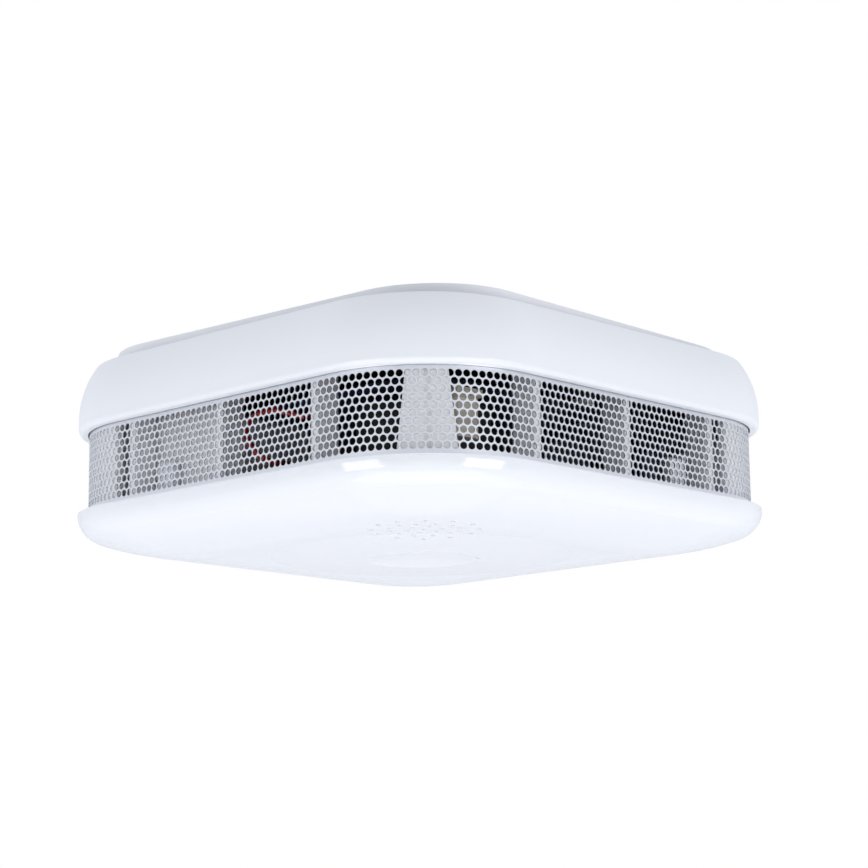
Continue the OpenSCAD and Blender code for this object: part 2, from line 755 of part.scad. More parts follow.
// Tray of the smoke chamber, with a cradle for each optical part
module chamber_tray() {
  cradle_w = optic_d + 2;
  cradle_l = optic_l - 1;
  cradle_fit = 0.15;
  color("black") translate([chamber_at.x, chamber_at.y, 0]) difference() {
    union() {
      translate([0, 0, board_low - tray_t]) cylinder(r = chamber_r, h = tray_t);
      for (a = optic_angles) rotate([0, 0, a]) translate([optic_near, -cradle_w / 2, optic_z])
        cube([cradle_l, cradle_w, board_low - tray_t / 2 - optic_z]);
    }
    for (a = optic_angles) rotate([0, 0, a]) translate([0, 0, optic_z]) rotate([0, 90, 0])
      cylinder(d = optic_d + 2 * cradle_fit, h = optic_near + optic_l, $fn = 48);
  }
}

// Labyrinth that keeps light out: slanted vanes on a ring
module chamber_vanes() {
  vane_l = 5.4;
  vane_slant = 35;
  ring_outer = chamber_r - cap_rim_t - clear;
  ring_inner = ring_outer - vane_l;
  ring_h = 1;
  low = board_low - tray_t - vane_h;
  color("black") translate([chamber_at.x, chamber_at.y, low]) {
    ring_sector(ring_inner, ring_outer, 0, ring_h, 0, 360);
    for (k = [0 : vanes - 1]) rotate([0, 0, 360 * k / vanes])
      translate([(ring_inner + ring_outer) / 2, 0, 0]) rotate([0, 0, vane_slant])
      translate([-vane_l / 2, -vane_t / 2, 0]) cube([vane_l, vane_t, vane_h]);
  }
}

// Cap under the smoke chamber, with a rim and a low dish
module chamber_cap() {
  high = board_low - tray_t - vane_h;
  rim_h = 1.5;
  dish_r = 0.6 * chamber_r;
  dish_h = 0.8;
  color("black") translate([chamber_at.x, chamber_at.y, high - cap_t]) rotate_extrude() {
    square([chamber_r, cap_t]);
    translate([chamber_r - cap_rim_t, 0]) square([cap_rim_t, cap_t + rim_h]);
    translate([0, -dish_h]) square([dish_r, dish_h + cap_t / 2]);
  }
}

// Round-nosed lamp lying along X, its nose towards the origin
module optic() {
  nose = optic_d / 2;
  rotate([0, 90, 0]) rotate_extrude() {
    intersection() {
      translate([0, nose]) circle(nose, $fn = 64);
      square([nose, nose]);
    }
    translate([0, nose]) square([nose, optic_l - nose]);
  }
}

// Infrared emitter of the smoke chamber
module ir_emitter() {
  color("lightsteelblue") translate([chamber_at.x, chamber_at.y, optic_z]) rotate([0, 0, optic_angles[0]])
    translate([optic_near, 0, 0]) optic();
}

// Photodiode that sees the light scattered by smoke
module photodiode() {
  color("darkslategray") translate([chamber_at.x, chamber_at.y, optic_z]) rotate([0, 0, optic_angles[1]])
    translate([optic_near, 0, 0]) optic();
}

// Battery holder: a box open below, with a notch in its outer wall and a slot in each end
module battery_holder() {
  notch_w = 6;
  notch_h = 4;
  h = board_low - holder_low;
  front_h = deck_low - clear - holder_low;
  slot_w = tail_w + 2 * battery_fit;
  color("white") difference() {
    union() {
      translate([holder_left, holder_front, holder_low]) cube([holder_l, holder_w, h]);
      translate([holder_left, holder_front, holder_low]) cube([holder_l, holder_wall, front_h]);
    }
    translate([holder_left + holder_wall, holder_front + holder_wall, holder_low - over])
      cube([holder_l - 2 * holder_wall, holder_in, h + over - holder_wall]);
    translate([holder_right - notch_w, holder_front - over, board_low - notch_h])
      cube([notch_w + over, holder_wall + over, notch_h - holder_wall]);
    translate([holder_left - over, battery_y - slot_w / 2, battery_z - slot_w / 2])
      cube([holder_l + 2 * over, slot_w, slot_w]);
  }
}

// Lithium cell with its raised cap at the right
module battery() {
  cap_d = 6.5;
  cap_h = 1;
  edge = 0.8;
  color("slategray") translate([holder_left + holder_wall + contact_room, battery_y, battery_z])
    rotate([0, 90, 0]) rotate_extrude() {
      translate([0, edge]) square([battery_d / 2, battery_l - cap_h - 2 * edge]);
      square([battery_d / 2 - edge, battery_l - cap_h]);
      square([cap_d / 2, battery_l]);
      for (z = [edge, battery_l - cap_h - edge]) translate([battery_d / 2 - edge, z]) intersection() {
        circle(edge, $fn = 32);
        translate([0, -edge]) square([edge, 2 * edge]);
      }
    }
}

// Contacts: a bowed leaf at each end of the battery, with a tail through the holder's slot
module battery_contacts() {
  leaf_w = 9;
  leaf_h = 11;
  tail_l = holder_wall + tail_out;
  tab_rise = 2;
  leaf_gap = 0.1;
  color("gold") for (s = [0, 1])
    translate([s == 0 ? holder_left + holder_wall : holder_right - holder_wall, battery_y, battery_z])
    mirror([s, 0, 0]) {
      translate([leaf_gap, -leaf_w / 2, -leaf_h / 2]) cube([contact_t, leaf_w, leaf_h]);
      translate([leaf_gap, -tail_w / 2, -leaf_h / 2]) cube([contact_room - 2 * leaf_gap, tail_w, contact_t]);
      translate([contact_room - leaf_gap - contact_t, -tail_w / 2, -leaf_h / 2])
        cube([contact_t, tail_w, leaf_h / 2 + tab_rise]);
      translate([-tail_l, -tail_w / 2, -contact_t / 2])
        cube([tail_l + leaf_gap + contact_t, tail_w, contact_t]);
    }
}

// Red lead from the battery's right contact to the board
module red_lead() { color("firebrick") lead(red_route, lead_d); }

// Black lead from the battery's left contact to the board
module black_lead() { color("black") lead(black_route, lead_d); }

// Sounder: a cup on the board, open towards the sound holes
module sounder_housing() {
  inner = sounder_r - sounder_wall;
  ledge = 1.6;
  back_t = 1.6;
  mouth_gap = 0.6;
  mouth_z = cover_floor + press + mouth_gap;
  color("black") translate([sound_at, -sound_at, 0]) rotate_extrude() difference() {
    translate([0, mouth_z]) square([sounder_r, board_low - mouth_z]);
    translate([0, mouth_z - over]) square([inner, disc_z - mouth_z + over]);
    translate([0, disc_z - over]) square([inner - ledge, board_low - back_t - disc_z + over]);
  }
}

// Brass disc of the sounder with its ceramic patch
module sounder_disc() {
  patch_r = disc_d / 3;
  color("goldenrod") translate([sound_at, -sound_at, disc_z - disc_t]) rotate_extrude() {
    square([disc_d / 2, disc_t]);
    translate([0, -disc_t / 2]) square([patch_r, disc_t]);
  }
}

// Test switch: a square case with the plunger's bore
module tact_switch() {
  lid_t = 0.4;
  lid_w = switch_w - 0.8;
  color("dimgray") translate([switch_at.x, switch_at.y, board_low - switch_h]) difference() {
    union() {
      translate([-switch_w / 2, -switch_w / 2, lid_t]) cube([switch_w, switch_w, switch_h - lid_t]);
      translate([-lid_w / 2, -lid_w / 2, 0]) cube([lid_w, lid_w, 2 * lid_t]);
    }
    translate([0, 0, -over]) cylinder(d = plunger_d + 2 * clear, h = switch_h, $fn = 48);
  }
}

// Plunger of the test switch
module switch_plunger() {
  color("black") translate([switch_at.x, switch_at.y, plunger_low])
    cylinder(d = plunger_d, h = plunger_high - plunger_low, $fn = 48);
}

// Indicator light on the board above the light pipe
module status_led() {
  flange_t = 1;
  flange_out = 0.4;
  color("red") translate([led_at.x, led_at.y, board_low - led_h]) rotate_extrude() {
    intersection() {
      translate([0, led_d / 2]) circle(led_d / 2, $fn = 48);
      square([led_d / 2, led_d / 2]);
    }
    translate([0, led_d / 2]) square([led_d / 2, led_h - led_d / 2]);
    translate([0, led_h - flange_t]) square([led_d / 2 + flange_out, flange_t]);
  }
}

// Light pipe that brings the light through the cover beside the dimple
module light_pipe() {
  led_gap = 1;
  top = board_low - led_h - press - led_gap;
  flange_t = 1;
  flange_out = 0.8;
  flange_gap = 0.05;
  recess = 0.15;
  low = crown_z - sqrt(pow(crown_r, 2) - pow(norm(led_at), 2)) + recess;
  color("aliceblue") translate([led_at.x, led_at.y, 0]) {
    translate([0, 0, low]) cylinder(d = pipe_d, h = top - low, $fn = 48);
    translate([0, 0, cover_floor + flange_gap]) cylinder(d = pipe_d + 2 * flange_out, h = flange_t, $fn = 48);
  }
}

mounting_plate();
base_housing();
rib_frame();
frame_screws();
screen_panel();  // screen_panel_front
rotate([0, 0, 90]) screen_panel();  // screen_panel_right
rotate([0, 0, 180]) screen_panel();  // screen_panel_back
rotate([0, 0, 270]) screen_panel();  // screen_panel_left
screen_bend();  // screen_bend_front_right
rotate([0, 0, 90]) screen_bend();  // screen_bend_back_right
rotate([0, 0, 180]) screen_bend();  // screen_bend_back_left
rotate([0, 0, 270]) screen_bend();  // screen_bend_front_left
circuit_board();
board_screws();
controller_chip();
capacitor();
step_up_coil();
chamber_tray();
chamber_vanes();
chamber_cap();
ir_emitter();
photodiode();
battery_holder();
battery();
battery_contacts();
red_lead();
black_lead();
sounder_housing();
sounder_disc();
tact_switch();
switch_plunger();
status_led();
light_pipe();
lower_cover();
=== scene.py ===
import json
import logging
import math
from dataclasses import dataclass
from enum import Enum

import bmesh
import bpy
from mathutils import Matrix, Vector


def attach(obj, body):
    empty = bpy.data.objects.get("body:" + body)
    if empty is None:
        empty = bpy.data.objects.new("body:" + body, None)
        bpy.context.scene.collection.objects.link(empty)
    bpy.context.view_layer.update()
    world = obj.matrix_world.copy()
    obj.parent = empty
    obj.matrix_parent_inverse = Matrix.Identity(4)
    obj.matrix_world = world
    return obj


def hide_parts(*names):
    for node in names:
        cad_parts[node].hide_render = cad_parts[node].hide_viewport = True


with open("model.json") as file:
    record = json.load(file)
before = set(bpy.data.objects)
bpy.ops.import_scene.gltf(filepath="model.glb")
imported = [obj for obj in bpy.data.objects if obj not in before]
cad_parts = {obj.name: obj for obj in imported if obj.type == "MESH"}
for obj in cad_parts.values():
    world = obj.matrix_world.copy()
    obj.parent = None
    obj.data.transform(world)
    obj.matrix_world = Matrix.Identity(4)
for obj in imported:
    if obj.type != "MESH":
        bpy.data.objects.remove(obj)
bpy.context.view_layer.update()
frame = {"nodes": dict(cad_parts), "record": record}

MM = 0.001
LOG = logging.getLogger("smoke_detector")
WHITE = "FFFFFF"
# Values between which most of a noise pattern lies.
NOISE_SPAN = (0.3, 0.7)
# Length of one wave of a wave pattern whose scale is 1.
WAVE_LENGTH = math.pi / 10
Colour = tuple[float, float, float, float]
Inputs = dict[str | int, object]


def linear(hex_colour: str) -> Colour:
    """Turns an sRGB hex colour into linear light.

    Args:
        hex_colour: Six hex digits, red first.

    Returns:
        Red, green, blue and an alpha of 1.
    """
    parts = [int(hex_colour[i:i + 2], 16) / 255 for i in (0, 2, 4)]
    red, green, blue = [p / 12.92 if p <= 0.04045 else ((p + 0.055) / 1.055) ** 2.4 for p in parts]
    return red, green, blue, 1.0


def per_mm(size_mm: float) -> float:
    """Gives the scale of a pattern whose features are size_mm across, in metres."""
    return 1.0 / (size_mm * MM)


def add(tree: bpy.types.NodeTree, kind: str, inputs: Inputs | None = None,
        **settings: object) -> bpy.types.Node:
    """Adds a node with its settings and links.

    Args:
        tree: Node tree that takes the node.
        kind: Blender's name of the node's class.
        inputs: A constant or another node's output socket for each input's name or number.
        **settings: Properties of the node.

    Returns:
        The new node.
    """
    node = tree.nodes.new(kind)
    for name, value in settings.items():
        setattr(node, name, value)
    for key, value in (inputs or {}).items():
        if isinstance(value, bpy.types.NodeSocket):
            tree.links.new(value, node.inputs[key])
        else:
            node.inputs[key].default_value = value
    return node


@dataclass(frozen=True)
class Finish:
    """A surface of one real material; the kinds below say how it is shaded."""

    name: str

    def shade(self, tree: bpy.types.NodeTree, place: bpy.types.NodeSocket) -> bpy.types.Node:
        """Adds the material's nodes and returns its shader."""
        raise NotImplementedError

    def material(self) -> bpy.types.Material:
        """Makes the Blender material.

        Returns:
            A material whose patterns lie on Object coordinates.
        """
        material = bpy.data.materials.new(self.name)
        material.use_nodes = True
        tree = material.node_tree
        tree.nodes.clear()
        place = add(tree, "ShaderNodeTexCoord").outputs["Object"]
        shader = self.shade(tree, place)
        add(tree, "ShaderNodeOutputMaterial", {"Surface": shader.outputs[0]})
        return material


@dataclass(frozen=True)
class Moulded(Finish):
    """Moulded plastic: a slow change of tone from the melt's flow and the fine grain of the mould's wall."""

    colour: str
    tone: str
    roughness: tuple[float, float]
    grain_mm: float
    relief_mm: float
    flow_mm: float = 22.0
    coat: float = 0.0
    coat_roughness: float = 0.06
    ior: float = 1.53
    soak_mm: float = 0.0

    def ground(self, tree: bpy.types.NodeTree, place: bpy.types.NodeSocket) -> bpy.types.NodeSocket:
        """Adds the nodes of the plastic's colour.

        Args:
            tree: Node tree of the material.
            place: Object coordinates.

        Returns:
            The colour's socket.
        """
        flow = add(tree, "ShaderNodeTexNoise", {
            "Vector": place, "Scale": per_mm(self.flow_mm), "Detail": 2.0})
        colour = add(tree, "ShaderNodeMix", {
            0: flow.outputs[0], 6: linear(self.colour), 7: linear(self.tone)}, data_type="RGBA")
        return colour.outputs[2]

    def shade(self, tree: bpy.types.NodeTree, place: bpy.types.NodeSocket) -> bpy.types.Node:
        """Adds the plastic's nodes: grain in gloss and relief, and light that soaks in.

        Args:
            tree: Node tree of the material.
            place: Object coordinates.

        Returns:
            The shader.
        """
        grain = add(tree, "ShaderNodeTexNoise", {
            "Vector": place, "Scale": per_mm(self.grain_mm), "Detail": 2.0})
        rough = add(tree, "ShaderNodeMapRange", {
            "Value": grain.outputs[0], "From Min": NOISE_SPAN[0], "From Max": NOISE_SPAN[1],
            "To Min": self.roughness[0], "To Max": self.roughness[1]})
        relief = add(tree, "ShaderNodeBump", {
            "Height": grain.outputs[0], "Distance": self.relief_mm * MM})
        return add(tree, "ShaderNodeBsdfPrincipled", {
            "Base Color": self.ground(tree, place), "Roughness": rough.outputs[0],
            "Normal": relief.outputs[0], "IOR": self.ior,
            "Coat Weight": self.coat, "Coat Roughness": self.coat_roughness,
            "Subsurface Weight": min(self.soak_mm, 1.0), "Subsurface Radius": (1.0, 1.0, 1.0),
            "Subsurface Scale": self.soak_mm * MM})


@dataclass(frozen=True)
class ShadedBelow(Moulded):
    """Moulded plastic whose downward faces are painted dark: painted shade for the dark inside of the
    housing.
    """

    painted_shade: str = "0A0A0C"
    least_dip: float = 0.3

    def ground(self, tree: bpy.types.NodeTree, place: bpy.types.NodeSocket) -> bpy.types.NodeSocket:
        """Adds the colour's nodes: a painted shade lies where the surface looks down.

        Args:
            tree: Node tree of the material.
            place: Object coordinates.

        Returns:
            The colour's socket.
        """
        # Painted shade: faces that look down get the dark colour, standing for the shade inside the housing.
        dip = add(tree, "ShaderNodeVectorMath", {
            0: place.node.outputs["Normal"], 1: (0.0, 0.0, -1.0)}, operation="DOT_PRODUCT")
        in_shade = add(tree, "ShaderNodeMath", {
            0: dip.outputs["Value"], 1: self.least_dip}, operation="GREATER_THAN")
        colour = add(tree, "ShaderNodeMix", {
            0: in_shade.outputs[0], 6: super().ground(tree, place), 7: linear(self.painted_shade)},
            data_type="RGBA")
        return colour.outputs[2]


@dataclass(frozen=True)
class Backdrop(Moulded):
    """Studio paper that is seen nearly white, whatever light falls on it, and keeps a trace of shadow."""

    white: float = 0.93

    def shade(self, tree: bpy.types.NodeTree, place: bpy.types.NodeSocket) -> bpy.types.Node:
        """Adds the paper's nodes: plain white to the eye and in mirrors, paper to all other light.

        Args:
            tree: Node tree of the material.
            place: Object coordinates.

        Returns:
            The shader.
        """
        ray = add(tree, "ShaderNodeLightPath").outputs
        mirrored = add(tree, "ShaderNodeMath", {
            0: ray["Is Glossy Ray"], 1: ray["Is Transmission Ray"]}, operation="MAXIMUM")
        seen = add(tree, "ShaderNodeMath", {
            0: ray["Is Camera Ray"], 1: mirrored.outputs[0]}, operation="MAXIMUM")
        share = add(tree, "ShaderNodeMath", {0: seen.outputs[0], 1: self.white}, operation="MULTIPLY")
        paper = super().shade(tree, place)
        plain = add(tree, "ShaderNodeEmission", {"Color": linear(WHITE), "Strength": 1.0})
        return add(tree, "ShaderNodeMixShader", {
            0: share.outputs[0], 1: paper.outputs[0], 2: plain.outputs[0]})


class Lay(Enum):
    """Axes along which the lines of a rolled or drawn metal run."""

    LEVEL = (True, True, False)
    UPRIGHT = (False, False, True)
    NONE = (False, False, False)


@dataclass(frozen=True)
class Metal(Finish):
    """Rolled, drawn or treated metal: fine lines along its lay, in tone, gloss and relief."""

    colour: str
    tone: str
    roughness: tuple[float, float]
    line_mm: float
    run_mm: float
    lay: Lay
    relief_mm: float

    def shade(self, tree: bpy.types.NodeTree, place: bpy.types.NodeSocket) -> bpy.types.Node:
        """Adds the metal's nodes: one stretched noise drives all three.

        Args:
            tree: Node tree of the material.
            place: Object coordinates.

        Returns:
            The shader.
        """
        stretch = [per_mm(self.run_mm if along else self.line_mm) for along in self.lay.value]
        stretched = add(tree, "ShaderNodeMapping", {"Vector": place, "Scale": stretch})
        lines = add(tree, "ShaderNodeTexNoise", {
            "Vector": stretched.outputs[0], "Scale": 1.0, "Detail": 3.0})
        colour = add(tree, "ShaderNodeMix", {
            0: lines.outputs[0], 6: linear(self.colour), 7: linear(self.tone)}, data_type="RGBA")
        rough = add(tree, "ShaderNodeMapRange", {
            "Value": lines.outputs[0], "From Min": NOISE_SPAN[0], "From Max": NOISE_SPAN[1],
            "To Min": self.roughness[0], "To Max": self.roughness[1]})
        relief = add(tree, "ShaderNodeBump", {
            "Height": lines.outputs[0], "Distance": self.relief_mm * MM})
        return add(tree, "ShaderNodeBsdfPrincipled", {
            "Base Color": colour.outputs[2], "Roughness": rough.outputs[0],
            "Normal": relief.outputs[0], "Metallic": 1.0})


@dataclass(frozen=True)
class Cast(Finish):
    """Clear or tinted cast resin: it lets light through, with faint streaks from the pour."""

    colour: str
    tone: str
    roughness: float
    transmission: float
    streak_mm: float = 1.2
    swirl: float = 0.6
    ior: float = 1.5

    def shade(self, tree: bpy.types.NodeTree, place: bpy.types.NodeSocket) -> bpy.types.Node:
        """Adds the resin's nodes: streaks in the colour, and light that passes.

        Args:
            tree: Node tree of the material.
            place: Object coordinates.

        Returns:
            The shader.
        """
        streak = add(tree, "ShaderNodeTexNoise", {
            "Vector": place, "Scale": per_mm(self.streak_mm), "Detail": 1.0, "Distortion": self.swirl})
        colour = add(tree, "ShaderNodeMix", {
            0: streak.outputs[0], 6: linear(self.colour), 7: linear(self.tone)}, data_type="RGBA")
        return add(tree, "ShaderNodeBsdfPrincipled", {
            "Base Color": colour.outputs[2], "Roughness": self.roughness, "IOR": self.ior,
            "Transmission Weight": self.transmission})


@dataclass(frozen=True)
class Laminate(Finish):
    """Glass-fibre board under solder mask: a woven ground and paler tracks over the copper."""

    mask: str
    track: str
    track_mm: float
    run_mm: float
    row_mm: float
    weave_mm: float
    relief_mm: float
    roughness: float
    specular: float

    def shade(self, tree: bpy.types.NodeTree, place: bpy.types.NodeSocket) -> bpy.types.Node:
        """Adds the board's nodes: tracks as the joints of a brick pattern, and the weave as relief.

        Args:
            tree: Node tree of the material.
            place: Object coordinates.

        Returns:
            The shader.
        """
        tracks = add(tree, "ShaderNodeTexBrick", {
            "Vector": place, "Scale": per_mm(1.0), "Mortar Size": self.track_mm,
            "Brick Width": self.run_mm, "Row Height": self.row_mm})
        colour = add(tree, "ShaderNodeMix", {
            0: tracks.outputs["Fac"], 6: linear(self.mask), 7: linear(self.track)}, data_type="RGBA")
        weave = add(tree, "ShaderNodeTexWave", {
            "Vector": place, "Scale": per_mm(self.weave_mm) * WAVE_LENGTH, "Distortion": 0.4},
            bands_direction="DIAGONAL")
        relief = add(tree, "ShaderNodeBump", {
            "Height": weave.outputs["Fac"], "Distance": self.relief_mm * MM})
        return add(tree, "ShaderNodeBsdfPrincipled", {
            "Base Color": colour.outputs[2], "Roughness": self.roughness,
            "Specular IOR Level": self.specular, "Normal": relief.outputs[0]})


@dataclass(frozen=True)
class Wound(Finish):
    """Tape, film or sleeve round a core: level bands, each with a soft edge."""

    colour: str
    edge: str
    band_mm: float
    roughness: float
    relief_mm: float

    def shade(self, tree: bpy.types.NodeTree, place: bpy.types.NodeSocket) -> bpy.types.Node:
        """Adds the winding's nodes: a saw-toothed wave gives its colour and its relief.

        Args:
            tree: Node tree of the material.
            place: Object coordinates.

        Returns:
            The shader.
        """
        bands = add(tree, "ShaderNodeTexWave", {
            "Vector": place, "Scale": per_mm(self.band_mm) * WAVE_LENGTH, "Distortion": 0.8,
            "Detail": 2.0, "Detail Scale": 2.0}, bands_direction="Z", wave_profile="SAW")
        colour = add(tree, "ShaderNodeMix", {
            0: bands.outputs["Fac"], 6: linear(self.edge), 7: linear(self.colour)}, data_type="RGBA")
        relief = add(tree, "ShaderNodeBump", {
            "Height": bands.outputs["Fac"], "Distance": self.relief_mm * MM})
        return add(tree, "ShaderNodeBsdfPrincipled", {
            "Base Color": colour.outputs[2], "Roughness": self.roughness, "Normal": relief.outputs[0]})


# One finish for each material slot of the part.
FINISHES: dict[str, Finish] = {
    # ABS moulded in a matt tool: a dull, even white.
    "plate_plastic": Moulded("abs_matt_moulded", colour="E9EAEC", tone="E2E3E6", roughness=(0.48, 0.6),
                             grain_mm=0.5, relief_mm=0.012),
    # ABS moulded in a finely eroded tool: satin, so lamps show as broad soft streaks. Its grain is
    # drawn coarser than the tool's, so that it shows.
    "housing_plastic": Moulded("abs_satin_moulded", colour="EDEFF2", tone="EBEDF1", roughness=(0.29, 0.33),
                               grain_mm=1.5, relief_mm=0.002),
    # ABS moulded in a polished tool: glossy, with the faint ripple that shrinkage leaves.
    "cover_plastic": Moulded("abs_polished_moulded", colour="E9EBEE", tone="E7E9ED", roughness=(0.09, 0.12),
                             grain_mm=3.0, relief_mm=0.002, coat=0.5, soak_mm=0.8),
    # ABS frame from an unpolished tool: plain white with a dull sheen; its downward faces carry painted
    # shade, a dark colour for the shade inside the housing.
    "frame_plastic": ShadedBelow("abs_plain_moulded", colour="F7F7F7", tone="F3F3F4", roughness=(0.42, 0.55),
                             grain_mm=2.0, relief_mm=0.004, soak_mm=3.0),
    # Stainless strip, rolled, punched and dulled: pale blue-grey with fine lines along the strip.
    "screen_metal": Metal("stainless_punched_satin", colour="EAEDF0", tone="DFE2E8", roughness=(0.28, 0.38),
                          line_mm=0.35, run_mm=14.0, lay=Lay.LEVEL, relief_mm=0.001),
    # Steel blackened in a hot bath: nearly black, with a cloudy, oily sheen.
    "screw_steel": Metal("steel_blackened", colour="2C2D30", tone="1E1F22", roughness=(0.4, 0.55),
                         line_mm=0.8, run_mm=0.8, lay=Lay.NONE, relief_mm=0.002),
    # Glass-fibre laminate under matt solder mask: a blue so dark that it is nearly black. Its weave is
    # drawn coarser than the real one, so that it shows.
    "board_laminate": Laminate("laminate_blue_mask", mask="080D18", track="0E1830", track_mm=0.19,
                               run_mm=8.16, row_mm=2.4, weave_mm=2.5, relief_mm=0.01, roughness=0.7,
                               specular=0.2),
    # Black epoxy moulded round a chip: dull, with a fine grit.
    "chip_resin": Moulded("epoxy_black_moulded", colour="141416", tone="1B1B1D", roughness=(0.6, 0.75),
                          grain_mm=0.2, relief_mm=0.01),
    # PVC sleeve shrunk on an aluminium can: dark blue and shiny, with one slow change of tone.
    "capacitor_sleeve": Wound("pvc_sleeve_shrunk", colour="1A1F3A", edge="2A3052", band_mm=37.7,
                              roughness=0.28, relief_mm=0.01),
    # Polyester tape wound on the coil: beige, with the edge of each turn a little darker.
    "coil_tape": Wound("polyester_tape_wound", colour="CFC9BC", edge="B6AE9F", band_mm=5.65,
                       roughness=0.45, relief_mm=0.03),
    # Black ABS from an eroded tool: dull, so that no light strays in the chamber.
    "chamber_plastic": Moulded("abs_black_eroded", colour="121214", tone="1B1B1E", roughness=(0.6, 0.75),
                               grain_mm=0.3, relief_mm=0.02),
    # Water-clear epoxy of the emitter, cast: it has a cold tint.
    "emitter_resin": Cast("epoxy_cold_clear", colour="C9D4E4", tone="B8C6DA", roughness=0.08,
                          transmission=0.7),
    # Epoxy of the photodiode, dyed and cast: nearly black, because it lets only infrared through.
    "diode_resin": Cast("epoxy_dark_dyed", colour="14151C", tone="1D1F2A", roughness=0.1, transmission=0.1),
    # Plain film shrunk on the cell by heat: slate grey with a soft gloss.
    "battery_can": Wound("pet_film_slate", colour="4A515C", edge="5C6470", band_mm=56.5, roughness=0.3,
                         relief_mm=0.008),
    # Brass strip, rolled: warm yellow with upright lines.
    "contact_brass": Metal("brass_rolled", colour="D9BC74", tone="C2A258", roughness=(0.22, 0.36),
                           line_mm=0.2, run_mm=6.0, lay=Lay.UPRIGHT, relief_mm=0.002),
    # PVC extruded on copper strands: red, smooth and a little glossy.
    "red_insulation": Moulded("pvc_red_extruded", colour="B3161C", tone="A01218", roughness=(0.28, 0.38),
                              grain_mm=1.2, relief_mm=0.01, flow_mm=6.0),
    # PVC extruded on copper strands: black.
    "black_insulation": Moulded("pvc_black_extruded", colour="17171A", tone="202024", roughness=(0.28, 0.38),
                                grain_mm=1.2, relief_mm=0.01, flow_mm=6.0),
    # Glass-filled nylon of the switch, moulded: dark grey and dull.
    "switch_case": Moulded("nylon_grey_filled", colour="3A3B3D", tone="444548", roughness=(0.45, 0.6),
                           grain_mm=0.25, relief_mm=0.01),
    # Diffused red epoxy of the indicator light, cast.
    "led_resin": Cast("epoxy_red_diffused", colour="C0262A", tone="A81C22", roughness=0.2, transmission=0.35),
    # Acrylic of the light pipe, polished at its end: pale and half clear.
    "pipe_acrylic": Cast("acrylic_polished", colour="E8EDF2", tone="DDE5EC", roughness=0.1,
                         transmission=0.4, ior=1.49),
}


def box(node: str) -> tuple[Vector, Vector]:
    """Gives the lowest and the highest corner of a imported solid."""
    corners = frame["nodes"][node].bound_box
    return Vector(corners[0]), Vector(corners[6])


def put(name: str, bm: bmesh.types.BMesh, body: str, material: bpy.types.Material,
        sharp_deg: float = 30.0) -> bpy.types.Object:
    """Turns a finished bmesh into a piece that rides on a body.

    Args:
        name: Name of the piece.
        bm: Mesh in the part's frame, in metres; it is freed.
        body: Body that carries the piece.
        material: Its Blender material.
        sharp_deg: Edges that turn by more than this stay sharp.

    Returns:
        The new object, at the origin.
    """
    mesh = bpy.data.meshes.new(name)
    bm.to_mesh(mesh)
    bm.free()
    mesh.materials.append(material)
    mesh.shade_smooth()
    mesh.set_sharp_from_angle(angle=math.radians(sharp_deg))
    piece = bpy.data.objects.new(name, mesh)
    bpy.context.scene.collection.objects.link(piece)
    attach(piece, body)
    LOG.info("%s: %d faces on %s", name, len(mesh.polygons), body)
    return piece


